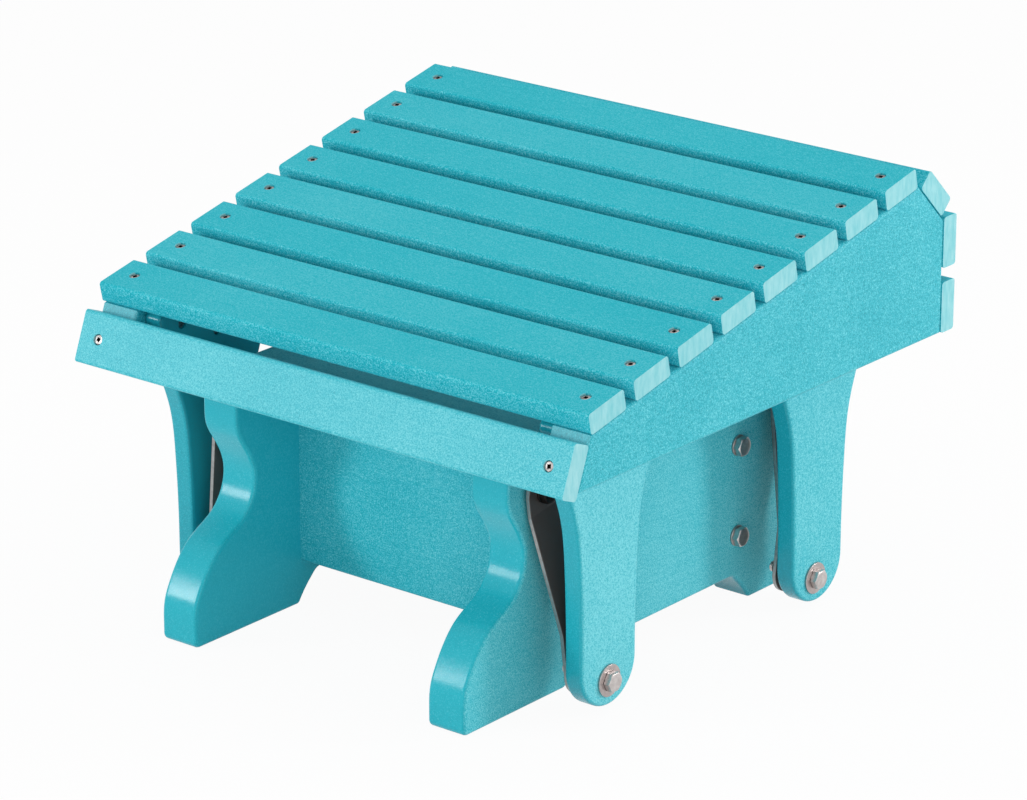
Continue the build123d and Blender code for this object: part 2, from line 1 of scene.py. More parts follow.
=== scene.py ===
"""Dresses the glider ottoman: poly-lumber boards, coated steel links and steel fasteners, in a plain studio.

Lengths are in metres, and a share is a number from 0 to 1.
"""

import logging
from dataclasses import dataclass, field, replace
from enum import Enum
from math import radians, tan

import bmesh
import bpy
import numpy as np
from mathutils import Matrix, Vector

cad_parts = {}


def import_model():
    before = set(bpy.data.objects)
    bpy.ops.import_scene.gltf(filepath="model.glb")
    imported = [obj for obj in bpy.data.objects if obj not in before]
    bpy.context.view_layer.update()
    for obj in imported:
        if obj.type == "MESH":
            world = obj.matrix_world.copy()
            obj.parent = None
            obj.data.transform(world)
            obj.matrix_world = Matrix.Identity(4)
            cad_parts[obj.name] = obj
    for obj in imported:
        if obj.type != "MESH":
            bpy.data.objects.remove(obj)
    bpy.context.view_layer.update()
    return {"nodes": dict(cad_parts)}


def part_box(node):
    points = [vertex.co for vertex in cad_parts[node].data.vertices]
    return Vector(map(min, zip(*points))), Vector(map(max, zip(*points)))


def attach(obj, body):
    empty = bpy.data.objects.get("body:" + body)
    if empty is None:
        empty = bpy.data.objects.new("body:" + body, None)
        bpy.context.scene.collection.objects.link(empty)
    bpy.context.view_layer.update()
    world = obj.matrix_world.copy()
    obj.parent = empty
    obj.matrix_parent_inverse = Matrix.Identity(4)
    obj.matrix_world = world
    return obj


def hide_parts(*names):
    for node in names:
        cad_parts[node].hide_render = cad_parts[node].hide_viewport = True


LOG = logging.getLogger("ottoman")
MM = 0.001
SIDES = (-1, 1)
MERGE_DISTANCE = 1e-6
SHARP_ANGLE = radians(32)
CHAMFER_SLOPE = tan(radians(30))
GRAIN_RATE = 0.08
NOISE_MIDDLE = 0.5
Place = tuple[float, float, float]
Colour = tuple[float, float, float]
Surface = tuple[np.ndarray, np.ndarray]
Material, Object = bpy.types.Material, bpy.types.Object
NodeTree, Socket = bpy.types.NodeTree, bpy.types.NodeSocket
Nodes = dict[str, Object]


def linear(*display: int) -> Colour:
    """Turn a display colour into the linear colour that a shader takes, by the sRGB curve.

    Args:
        display: Red, green and blue, 0 to 255.

    Returns:
        The same colour with its display curve taken off.
    """
    share = np.array(display) / 255
    light = np.where(share <= 0.04045, share / 12.92, ((share + 0.055) / 1.055) ** 2.4)
    return tuple(float(value) for value in light)


# ---- shader groups ----
@dataclass(frozen=True)
class Noise:
    """A Noise Texture: cells per metre, octaves, their fall-off, and the weight it has in a sum."""

    scale: float
    detail: float = 2.0
    rough: float = 0.6
    weight: float = 1.0


class NodeBench:
    """Adds nodes to one tree and joins them, so that a recipe reads from top to bottom."""

    def __init__(self, tree: NodeTree) -> None:
        """Work on this tree."""
        self.tree = tree

    def feed(self, node: bpy.types.Node, **inputs: object) -> None:
        """Set or link some inputs of a node.

        Args:
            node: A node of this tree.
            inputs: Values or sockets, by the input's name with _ for a space, or by i and its number.
        """
        for name, value in inputs.items():
            key = int(name[1:]) if name[0] == "i" and name[1:].isdigit() else name.replace("_", " ")
            socket = node.inputs[key]
            if isinstance(value, Socket):
                self.tree.links.new(value, socket)
            else:
                socket.default_value = value

    def add(self, kind: str, settings: dict | None = None, **inputs: object) -> bpy.types.Node:
        """Add a node.

        Args:
            kind: The node's type name.
            settings: Attributes of the node itself.
            inputs: Values or sockets for its inputs, named as in feed.

        Returns:
            The new node.
        """
        node = self.tree.nodes.new(kind)
        for name, value in (settings or {}).items():
            setattr(node, name, value)
        self.feed(node, **inputs)
        return node

    def group(self, tree: NodeTree, **inputs: object) -> bpy.types.NodeOutputs:
        """Add a group of nodes and return its outputs."""
        return self.add("ShaderNodeGroup", {"node_tree": tree}, **inputs).outputs

    def find(self, kind: str) -> bpy.types.Node:
        """Return the tree's first node of a type."""
        return next(node for node in self.tree.nodes if node.type == kind)

    def math(self, operation: str, *values: object, clamp: bool = False) -> Socket:
        """Add a Math node and return its output."""
        inputs = {f"i{number}": value for number, value in enumerate(values)}
        return self.add("ShaderNodeMath", {"operation": operation, "use_clamp": clamp}, **inputs).outputs[0]

    def vector(self, operation: str, first: object, second: object) -> Socket:
        """Add a Vector Math node and return its vector."""
        node = self.add("ShaderNodeVectorMath", {"operation": operation}, i0=first, i1=second)
        return node.outputs["Vector"]

    def ramp(self, value: object, start: float, rate: float) -> Socket:
        """Return how far a value is past a start, times a rate, held between 0 and 1."""
        return self.math("MULTIPLY", self.math("SUBTRACT", value, start), rate, clamp=True)

    def noise(self, vector: Socket, noise: Noise) -> Socket:
        """Add a Noise Texture and return its value, which lies around 0.5."""
        return self.add("ShaderNodeTexNoise", Vector=vector, Scale=noise.scale, Detail=noise.detail,
                        Roughness=noise.rough).outputs[0]

    def mix(self, share: object, first: object, second: object) -> Socket:
        """Mix two colours.

        Args:
            share: How much of the second colour, 0 to 1.
            first: A colour or a socket.
            second: A colour or a socket.

        Returns:
            The mixed colour.
        """
        first, second = (end if isinstance(end, Socket) else (*end, 1) for end in (first, second))
        settings = {"data_type": "RGBA", "clamp_factor": True}
        return self.add("ShaderNodeMix", settings, i0=share, i6=first, i7=second).outputs[2]

    def bump(self, height: Socket, strength: float, distance: float) -> Socket:
        """Add a Bump node and return its normal."""
        return self.add("ShaderNodeBump", Strength=strength, Distance=distance, Height=height).outputs[0]

    def seen(self) -> Socket:
        """Find the rays that show something, to the camera, in a reflection or through glass.

        Returns:
            1 for such a ray, 0 for one that only carries light.
        """
        rays = self.add("ShaderNodeLightPath").outputs
        indirect = self.math("MAXIMUM", rays["Is Glossy Ray"], rays["Is Transmission Ray"])
        return self.math("MAXIMUM", rays["Is Camera Ray"], indirect)


def new_group(name: str, inputs: dict[str, tuple[str, object]], outputs: dict[str, str]) -> tuple:
    """Make an empty shader node group.

    Args:
        name: The group's name.
        inputs: Socket type and default by name.
        outputs: Socket type by name.

    Returns:
        The tree, its bench, and its input and output nodes.
    """
    tree = bpy.data.node_groups.new(name, "ShaderNodeTree")
    for label, (kind, value) in inputs.items():
        socket = tree.interface.new_socket(name=label, in_out="INPUT", socket_type=kind)
        socket.default_value = value
    for label, kind in outputs.items():
        tree.interface.new_socket(name=label, in_out="OUTPUT", socket_type=kind)
    return tree, NodeBench(tree), tree.nodes.new("NodeGroupInput"), tree.nodes.new("NodeGroupOutput")


class Effects:
    """The shader groups that several finishes share, each made once."""

    FINE = Noise(880.0, weight=2.3)
    COARSE = Noise(352.0, rough=0.5, weight=0.45)
    STREAK = Noise(420.0, detail=3.0, weight=0.30)
    CLOUD = Noise(9.0, rough=0.5, weight=0.35)
    FINE_HEIGHT, COARSE_HEIGHT = 0.6, 0.4
    SAW, SAW_STRETCH = Noise(620.0, detail=3.0), (1.0, 0.35, 0.10)
    END_FROM, END_RATE = 0.55, 5.0
    SMUDGE = Noise(240.0, detail=3.0)
    SCRATCH, SCRATCH_STRETCH = Noise(700.0), (1.0, 1.0, 9.0)

    def __init__(self) -> None:
        """Build every group."""
        self.pebble = self._pebble()
        self.sawn_end = self._sawn_end()
        self.turned = self._turned()

    def _pebble(self) -> NodeTree:
        """Skin of a moulded plastic board: fine pebbles, streaks along the board and slow clouds.

        Shade is the weighted sum of the noises, each taken about its middle.

        Returns:
            The group, which gives Shade and Height.
        """
        tree, bench, start, end = new_group(
            "board_pebble",
            {"Vector": ("NodeSocketVector", (0, 0, 0)), "Stretch": ("NodeSocketVector", (1, 1, 1)),
             "Seed": ("NodeSocketFloat", 0)},
            {"Shade": "NodeSocketFloat", "Height": "NodeSocketFloat"})
        moved = bench.vector("ADD", start.outputs["Vector"], start.outputs["Seed"])
        drawn = bench.vector("MULTIPLY", moved, start.outputs["Stretch"])
        fine, coarse = bench.noise(moved, self.FINE), bench.noise(moved, self.COARSE)
        streak, cloud = bench.noise(drawn, self.STREAK), bench.noise(moved, self.CLOUD)
        shade = 0.0
        for value, layer in ((fine, self.FINE), (coarse, self.COARSE), (streak, self.STREAK),
                             (cloud, self.CLOUD)):
            above = bench.math("SUBTRACT", value, NOISE_MIDDLE)
            shade = bench.math("MULTIPLY_ADD", above, layer.weight, shade)
        height = bench.math("MULTIPLY_ADD", fine, self.FINE_HEIGHT,
                            bench.math("MULTIPLY", coarse, self.COARSE_HEIGHT))
        bench.feed(end, Shade=shade, Height=height)
        return tree

    def _sawn_end(self) -> NodeTree:
        """Cut ends of a board and the blade's marks on them.

        An end is where the surface faces along the board, either way.

        Returns:
            The group, which gives Mask and Saw marks.
        """
        tree, bench, start, end = new_group(
            "sawn_end",
            {"Vector": ("NodeSocketVector", (0, 0, 0)), "Facing": ("NodeSocketVector", (0, 0, 1)),
             "Along": ("NodeSocketVector", (1, 0, 0))},
            {"Mask": "NodeSocketFloat", "Saw marks": "NodeSocketFloat"})
        along = bench.add("ShaderNodeVectorMath", {"operation": "DOT_PRODUCT"},
                          i0=start.outputs["Facing"], i1=start.outputs["Along"]).outputs["Value"]
        marks = bench.vector("MULTIPLY", start.outputs["Vector"], self.SAW_STRETCH)
        bench.feed(end, Mask=bench.ramp(bench.math("ABSOLUTE", along), self.END_FROM, self.END_RATE),
                   Saw_marks=bench.noise(marks, self.SAW))
        return tree

    def _turned(self) -> NodeTree:
        """Smudges and fine scratches of bright metal.

        Returns:
            The group, which gives Smudge and Scratch.
        """
        tree, bench, start, end = new_group(
            "bright_metal", {"Vector": ("NodeSocketVector", (0, 0, 0))},
            {"Smudge": "NodeSocketFloat", "Scratch": "NodeSocketFloat"})
        drawn = bench.vector("MULTIPLY", start.outputs["Vector"], self.SCRATCH_STRETCH)
        bench.feed(end, Smudge=bench.noise(start.outputs["Vector"], self.SMUDGE),
                   Scratch=bench.noise(drawn, self.SCRATCH))
        return tree


# ---- finishes ----
class Grain(Enum):
    """Which way a board was drawn: the direction along it."""

    ACROSS = (1.0, 0.0, 0.0)
    FORE_AFT = (0.0, 1.0, 0.0)
    UPRIGHT = (0.0, 0.0, 1.0)

    def stretch(self) -> tuple[float, ...]:
        """Return the pattern's rate along each axis, slow along the board."""
        return tuple(GRAIN_RATE if along else 1.0 for along in self.value)


def start_material(name: str) -> tuple[Material, NodeBench, bpy.types.Node, Socket]:
    """Make a material with only its shader.

    Args:
        name: The material's name.

    Returns:
        The material, its bench, its Principled BSDF and the Object coordinates.
    """
    material = bpy.data.materials.new(name)
    material.use_nodes = True
    bench = NodeBench(material.node_tree)
    return material, bench, bench.find("BSDF_PRINCIPLED"), bench.add("ShaderNodeTexCoord").outputs["Object"]


@dataclass(frozen=True)
class LumberFinish:
    """Solid-coloured plastic board with a pebbled skin, smooth routed edges and paler sawn ends.

    The lift makes a face paler as painted light, or darker below 0 as painted shade, and also sets one
    board's tone apart from the next; a calm takes that share off its speckle. From and rate say at which
    value of the surface's direction a kind of face starts, and how fast it takes over. Routed edges face away
    from X, the inner face looks along inner_side, and the top faces up; their own darkening is painted shade
    on them.
    """

    name: str
    grain: Grain
    skin: Colour = linear(38, 185, 201)
    dark: Colour = linear(18, 140, 157)
    pale: Colour = linear(132, 224, 233)
    contrast: float = 1.5
    speckle: float = 1.0
    tone_and_painted_light: float = 0.0
    seed: float = 0.0
    cut_share: float = 0.0
    end: Colour = linear(132, 209, 217)
    streak: Colour = linear(182, 231, 235)
    streak_from: float = 0.30
    streak_rate: float = 1.5
    top_from: float = 0.8
    top_rate: float = 6.0
    calm_top: float = 0.0
    inner_side: int = 0
    inner_from: float = 0.6
    inner_rate: float = 5.0
    calm_inner: float = 0.7
    inner_painted_shade: float = 0.0
    routed: float = 0.0
    routed_from: float = 0.97
    routed_rate: float = 2.2
    calm_routed: float = 0.7
    routed_painted_shade: float = -0.06
    rough: float = 0.5
    rough_range: float = 0.22
    routed_polish: float = 0.3
    bump: float = 0.5
    bump_depth: float = 0.6 * MM
    ior: float = 1.48
    gloss: float = 0.35

    def make(self, effects: Effects) -> Material:
        """Build the material.

        Args:
            effects: The shared groups.

        Returns:
            The material.
        """
        material, bench, shader, place = start_material(self.name)
        pebble = bench.group(effects.pebble, Vector=place, Stretch=self.grain.stretch(), Seed=self.seed)
        normal = bench.add("ShaderNodeTexCoord").outputs["Normal"]
        facing = bench.add("ShaderNodeSeparateXYZ", Vector=normal).outputs
        routed = bench.ramp(bench.math("ABSOLUTE", facing["X"]), self.routed_from, -self.routed_rate)
        routed = bench.math("MULTIPLY", routed, self.routed)
        upward = bench.ramp(facing["Z"], self.top_from, self.top_rate)
        inward = bench.math("MULTIPLY_ADD", facing["X"], self.inner_rate * self.inner_side,
                            -self.inner_rate * self.inner_from, clamp=True)
        strength = self.speckle
        for mask, calm in ((routed, self.calm_routed), (upward, self.calm_top), (inward, self.calm_inner)):
            strength = bench.math("MULTIPLY", strength, bench.math("MULTIPLY_ADD", mask, -calm, 1.0))
        # Painted light and shade: the lift pales the face, and routed edges and inner faces are darkened as
        # painted shade.
        tone_and_painted_light = bench.math("MULTIPLY_ADD", routed, self.routed_painted_shade - self.tone_and_painted_light, self.tone_and_painted_light)
        tone_and_painted_light = bench.math("MULTIPLY_ADD", inward, self.inner_painted_shade - self.tone_and_painted_light, tone_and_painted_light)
        shade = bench.math("MULTIPLY_ADD", pebble["Shade"], strength, tone_and_painted_light)
        colour = bench.mix(bench.ramp(shade, 0.0, self.contrast), self.skin, self.pale)
        colour = bench.mix(bench.ramp(shade, 0.0, -self.contrast), colour, self.dark)
        if self.cut_share:
            sawn = bench.group(effects.sawn_end, Vector=place, Facing=normal, Along=self.grain.value)
            cut = bench.mix(bench.ramp(sawn["Saw marks"], self.streak_from, self.streak_rate),
                            self.end, self.streak)
            colour = bench.mix(bench.math("MULTIPLY", sawn["Mask"], self.cut_share), colour, cut)
        rough = bench.math("MULTIPLY_ADD", pebble["Shade"], self.rough_range, self.rough)
        rough = bench.math("MULTIPLY_ADD", routed, -self.routed_polish, rough)
        height = bench.math("MULTIPLY", pebble["Height"], strength)
        bench.feed(shader, Base_Color=colour, Roughness=rough,
                   Normal=bench.bump(height, self.bump, self.bump_depth))
        shader.inputs["IOR"].default_value = self.ior
        shader.inputs["Specular IOR Level"].default_value = self.gloss
        return material


@dataclass(frozen=True)
class CoatedSteelFinish:
    """Black coating on the links, bright bare metal on the narrow cut edges, partly wear and partly a painted
    highlight.
    """

    name: str
    coat: Colour = linear(76, 66, 63)
    bare_and_highlight: Colour = linear(176, 178, 178)
    edge_from: float = 0.55
    edge_rate: float = 4.0
    wear_and_highlight: float = 0.25
    rough: float = 0.28
    rough_range: float = 0.25
    bump: float = 0.12
    bump_depth: float = 0.3 * MM

    def make(self, effects: Effects) -> Material:
        """Build the material.

        Args:
            effects: The shared groups.

        Returns:
            The material.
        """
        material, bench, shader, place = start_material(self.name)
        metal = bench.group(effects.turned, Vector=place)
        facing = bench.add("ShaderNodeSeparateXYZ", Vector=bench.add("ShaderNodeTexCoord").outputs["Normal"])
        # The narrow edges get bright metal: partly wear, partly a painted highlight along them.
        edge = bench.ramp(bench.math("ABSOLUTE", facing.outputs["X"]), self.edge_from, -self.edge_rate)
        worn_and_highlit = bench.math("MULTIPLY", edge, bench.math("ADD", metal["Smudge"], self.wear_and_highlight), clamp=True)
        bench.feed(shader, Base_Color=bench.mix(worn_and_highlit, self.coat, self.bare_and_highlight), Metallic=worn_and_highlit,
                   Roughness=bench.math("MULTIPLY_ADD", metal["Smudge"], self.rough_range, self.rough),
                   Normal=bench.bump(metal["Scratch"], self.bump, self.bump_depth))
        return material


@dataclass(frozen=True)
class SteelFinish:
    """Steel of the fasteners, with faint smudges and scratches."""

    name: str
    bright: Colour = linear(228, 223, 221)
    dull: Colour = linear(152, 144, 141)
    rough: float = 0.26
    rough_range: float = 0.25
    contrast: float = 0.9
    bump: float = 0.06
    bump_depth: float = 0.2 * MM

    def make(self, effects: Effects) -> Material:
        """Build the material.

        Args:
            effects: The shared groups.

        Returns:
            The material.
        """
        material, bench, shader, place = start_material(self.name)
        metal = bench.group(effects.turned, Vector=place)
        above = bench.math("SUBTRACT", metal["Smudge"], NOISE_MIDDLE)
        tarnish = bench.math("MULTIPLY_ADD", above, self.contrast, NOISE_MIDDLE, clamp=True)
        bench.feed(shader, Base_Color=bench.mix(tarnish, self.bright, self.dull),
                   Roughness=bench.math("MULTIPLY_ADD", tarnish, self.rough_range, self.rough),
                   Normal=bench.bump(metal["Scratch"], self.bump, self.bump_depth))
        shader.inputs["Metallic"].default_value = 1.0
        return material


@dataclass(frozen=True)
class NylonFinish:
    """Moulded nylon of the bushes in the links' eyes."""

    name: str
    body: Colour = linear(40, 40, 42)
    bloom: Colour = linear(78, 78, 80)
    rough: float = 0.4
    rough_range: float = 0.2

    def make(self, effects: Effects) -> Material:
        """Build the material.

        Args:
            effects: The shared groups.

        Returns:
            The material.
        """
        material, bench, shader, place = start_material(self.name)
        metal = bench.group(effects.turned, Vector=place)
        bench.feed(shader, Base_Color=bench.mix(metal["Smudge"], self.body, self.bloom),
                   Roughness=bench.math("MULTIPLY_ADD", metal["Scratch"], self.rough_range, self.rough))
        return material


Finish = LumberFinish | CoatedSteelFinish | SteelFinish | NylonFinish


class Wardrobe:
    """Gives objects their finishes, each made once."""

    def __init__(self) -> None:
        """Make the shared effects."""
        self.effects = Effects()
        self.made: dict[str, Material] = {}

    def dress(self, obj: Object, *finishes: Finish) -> None:
        """Give an object's material slots these finishes.

        Args:
            obj: The object, which gets more slots where it has too few.
            finishes: One for each slot; the last one also covers the slots after it.
        """
        while len(obj.material_slots) < len(finishes):
            obj.data.materials.append(None)
        for number, slot in enumerate(obj.material_slots):
            finish = finishes[min(number, len(finishes) - 1)]
            if finish.name not in self.made:
                self.made[finish.name] = finish.make(self.effects)
            slot.material = self.made[finish.name]
        LOG.info("%s wears %s", obj.name, ", ".join(finish.name for finish in finishes))


STEEL = SteelFinish("fastener_steel")
WASHER_STEEL = SteelFinish("washer_steel", linear(204, 194, 192), linear(150, 139, 137), rough=0.24)
# Darker steel for the lower pivot nuts: painted shade for their place between leg and panel.
SHADED_NUT_STEEL = SteelFinish("shaded_nut_steel", linear(128, 116, 114), linear(78, 70, 68), rough=0.3)
SCREW_STEEL = SteelFinish("screw_heads", linear(190, 186, 184), linear(112, 104, 102), rough=0.3,
                          contrast=2.0)
# Leg screws in the dark gaps: painted shade, tinted teal as a painted reflection of the boards beside them.
PAINTED_SHADE_SCREW = SteelFinish("shaded_screws", linear(126, 154, 158), linear(92, 120, 124), rough=0.4)
# Painted shade in the screw sockets: a dark colour for the shadow inside the recess.
SOCKET_PAINTED_SHADE = SteelFinish("screw_socket_shade", linear(48, 42, 42), linear(24, 20, 20), rough=0.6)
BLACK_STEEL = SteelFinish("black_fasteners", linear(66, 62, 60), linear(38, 36, 36), rough=0.34)
COATED = CoatedSteelFinish("link_coating")
NYLON = NylonFinish("bush_nylon")


# ---- surfaces ----
@dataclass(frozen=True)
class Profile:
    """Outline of a turned or hexagonal piece: distance from the axis and height, point by point."""

    radius: np.ndarray
    height: np.ndarray
    closed: bool = False


def angles(count: int) -> np.ndarray:
    """Evenly spaced angles round the axis."""
    return np.arange(count) * 2 * np.pi / count


def hexagon_radius(angle: np.ndarray, across: float, sharp: float = 70.0) -> np.ndarray:
    """Radius of a hexagon with slightly rounded corners.

    Half the distance across the flats, divided by the p-norm of the cosines to the six flats.

    Args:
        angle: Angles round the axis.
        across: Distance across the flats.
        sharp: The norm's power; a higher one makes sharper corners.

    Returns:
        The radius at each angle.
    """
    flats = np.cos(angle[:, None] - np.arange(6) * np.pi / 3).clip(min=0)
    return across / 2 / (flats ** sharp).sum(axis=1) ** (1 / sharp)


def spin(profile: Profile, limit: np.ndarray, thread: np.ndarray | None = None) -> Surface:
    """Carry a profile round the axis, cut back to a limit radius at each angle.

    A point is (r cos a, r sin a, h), where r is the smaller of the profile's radius and the limit.

    Args:
        profile: The outline; one that isn't closed starts and ends on the axis.
        limit: Limit radius at each of the evenly spaced angles, for all points alike or by point and angle.
        thread: Optional depth to take off, by profile point and angle.

    Returns:
        Points and four-cornered faces; the points of a pole lie together.
    """
    count, rows = limit.shape[-1], len(profile.radius)
    angle = angles(count)
    reach = np.minimum(profile.radius[:, None], limit)
    if thread is not None:
        reach = reach - thread
    points = np.stack([reach * np.cos(angle), reach * np.sin(angle),
                       np.repeat(profile.height[:, None], count, axis=1)], axis=-1).reshape(-1, 3)
    row = np.arange(rows if profile.closed else rows - 1)[:, None]
    column = np.arange(count)[None, :]
    after_row, after_column = (row + 1) % rows, (column + 1) % count
    faces = np.stack([row * count + column, row * count + after_column,
                      after_row * count + after_column, after_row * count + column], axis=-1)
    return points, faces.reshape(-1, 4)


def stand_on(points: np.ndarray, place: Place, side: int) -> np.ndarray:
    """Turn points so that their height runs along X, and move them to a place.

    Args:
        points: Points with their axis along Z.
        place: Where their origin goes.
        side: 1 where height runs towards +X, -1 towards -X.

    Returns:
        The placed points.
    """
    return np.stack([side * points[:, 2], side * points[:, 0], points[:, 1]], axis=-1) + np.array(place)


def soften(mesh: bpy.types.Mesh) -> None:
    """Make all faces smooth, with sharp edges where two faces meet at more than the sharp angle."""
    mesh.polygons.foreach_set("use_smooth", np.ones(len(mesh.polygons), bool))
    mesh.set_sharp_from_angle(angle=SHARP_ANGLE)


def make_piece(name: str, points: np.ndarray, faces: np.ndarray,
               slots: np.ndarray | None = None) -> Object:
    """Make a mesh object at the origin, merged at its poles, with smooth faces and sharp edges.

    Args:
        name: The piece's name.
        points: All its points, in metres.
        faces: Four point numbers for each face.
        slots: Material slot of each face, where it has more than one.

    Returns:
        The linked object.
    """
    mesh = bpy.data.meshes.new(name)
    mesh.from_pydata(points.tolist(), [], faces.tolist())
    if slots is not None:
        mesh.polygons.foreach_set("material_index", slots)
    work = bmesh.new()
    work.from_mesh(mesh)
    bmesh.ops.remove_doubles(work, verts=work.verts, dist=MERGE_DISTANCE)
    bmesh.ops.recalc_face_normals(work, faces=work.faces)
    work.to_mesh(mesh)
    work.free()
    soften(mesh)
    obj = bpy.data.objects.new(name, mesh)
    bpy.context.scene.collection.objects.link(obj)
    LOG.info("%s: %d faces", name, len(mesh.polygons))
    return obj


def gather(parts: list[Surface]) -> Surface:
    """Put several surfaces into one pair of arrays.

    Args:
        parts: Points and faces of each.

    Returns:
        All points, and all faces with their numbers moved on.
    """
    starts = np.cumsum([0] + [len(points) for points, _ in parts[:-1]])
    faces = [part_faces + start for (_, part_faces), start in zip(parts, starts)]
    return np.concatenate([points for points, _ in parts]), np.concatenate(faces)


# ---- fasteners ----
@dataclass(frozen=True)
class HexBolt:
    """Hex bolt with a chamfered head, a washer face and a threaded end.

    The crown's and the washer face's shares are of half the distance across the flats, the ring's is of
    the crown, and the tip's is of the shank.
    """

    length: float
    shank_r: float = 5.0 * MM
    across: float = 16.0 * MM
    turn: float = 30.0
    head: float = 6.4 * MM
    crown_share: float = 0.93
    ring_share: float = 0.7
    cone_steps: int = 5
    face_share: float = 0.96
    face_height: float = 0.4 * MM
    pitch: float = 1.5 * MM
    pitch_steps: int = 6
    thread_depth: float = 0.62 * MM
    threaded: float = 14.0 * MM
    tip_share: float = 0.82
    around: int = 72

    def surface(self) -> Surface:
        """Work out the bolt with the seat of its head at height 0.

        The head is a hexagon cut by a 30 degree cone. The thread takes a triangle wave off the shank,
        whose phase is the height in pitches plus the share of a turn.

        Returns:
            Points and faces.
        """
        corner = self.across / 2 / np.cos(np.pi / 6)
        crown, face_r = self.crown_share * self.across / 2, self.face_share * self.across / 2
        cone_r = np.linspace(crown, corner, self.cone_steps)
        cone_z = self.head - (cone_r - crown) * CHAMFER_SLOPE
        thread_z = np.arange(-self.length + self.threaded, -self.length + self.pitch / 2,
                             -self.pitch / self.pitch_steps)
        radius = np.concatenate([
            [0, crown * self.ring_share], cone_r, [corner, face_r, face_r, self.shank_r, self.shank_r],
            np.full(len(thread_z), self.shank_r), [self.shank_r * self.tip_share, 0]])
        height = np.concatenate([
            [self.head] * 2, cone_z, [self.face_height, self.face_height, 0, 0, thread_z[0] + self.pitch],
            thread_z, [-self.length, -self.length]])
        angle = angles(self.around)
        phase = (height[:, None] / self.pitch + angle[None, :] / (2 * np.pi)) % 1
        wave = self.thread_depth * np.abs(2 * phase - 1)
        cut = (height <= thread_z[0]) & (height > -self.length)
        limit = hexagon_radius((angle - radians(self.turn)) % (2 * np.pi), self.across)
        return spin(Profile(radius, height), limit, wave * cut[:, None])


@dataclass(frozen=True)
class Washer:
    """Flat washer with rounded rims."""

    outer_r: float
    inner_r: float = 5.05 * MM
    thick: float = 2.0 * MM
    rim: float = 0.45 * MM
    rim_steps: int = 4
    around: int = 72

    def surface(self) -> Surface:
        """Work out the washer lying on height 0: a rectangle with four quarter-round corners, spun.

        Returns:
            Points and faces.
        """
        outer, inner, top = self.outer_r - self.rim, self.inner_r + self.rim, self.thick - self.rim
        centres = np.array([(outer, top), (inner, top), (inner, self.rim), (outer, self.rim)])
        turn = np.linspace(0, np.pi / 2, self.rim_steps) + np.arange(4)[:, None] * np.pi / 2
        radius = (centres[:, :1] + self.rim * np.cos(turn)).ravel()
        height = (centres[:, 1:] + self.rim * np.sin(turn)).ravel()
        return spin(Profile(radius, height, closed=True), np.full(self.around, self.outer_r))


@dataclass(frozen=True)
class LockNut:
    """Thin hex nut, chamfered at its foot, with a rolled collar.

    The face's share is of half the distance across the flats, and the roll's width is a share of its height.
    """

    across: float = 16.0 * MM
    hex_height: float = 5.0 * MM
    height: float = 6.5 * MM
    collar_r: float = 7.4 * MM
    bore_r: float = 5.05 * MM
    face_share: float = 0.95
    foot_steps: int = 4
    shoulder: float = 0.4 * MM
    roll_width: float = 0.5
    roll_steps: int = 5
    lip: float = 0.6 * MM
    lip_drop: float = 0.3 * MM
    around: int = 72

    def surface(self) -> Surface:
        """Work out the nut standing on height 0: a hexagon under a domed collar, spun as a closed loop.

        Returns:
            Points and faces.
        """
        corner = self.across / 2 / np.cos(np.pi / 6)
        face = self.face_share * self.across / 2
        dome = np.linspace(0, np.pi / 2, self.roll_steps)
        roll = self.height - self.hex_height
        radius = np.concatenate([
            [self.bore_r, face], np.linspace(face, corner, self.foot_steps), [corner, face],
            self.collar_r - roll * self.roll_width * (1 - np.cos(dome)),
            [self.bore_r + self.lip, self.bore_r]])
        height = np.concatenate([
            [0, 0], np.linspace(0, (corner - face) * CHAMFER_SLOPE, self.foot_steps),
            [self.hex_height - self.shoulder, self.hex_height],
            self.height - roll * (1 - np.sin(dome)), [self.height - self.lip_drop] * 2])
        limit = hexagon_radius(angles(self.around), self.across)
        return spin(Profile(radius, height, closed=True), limit)


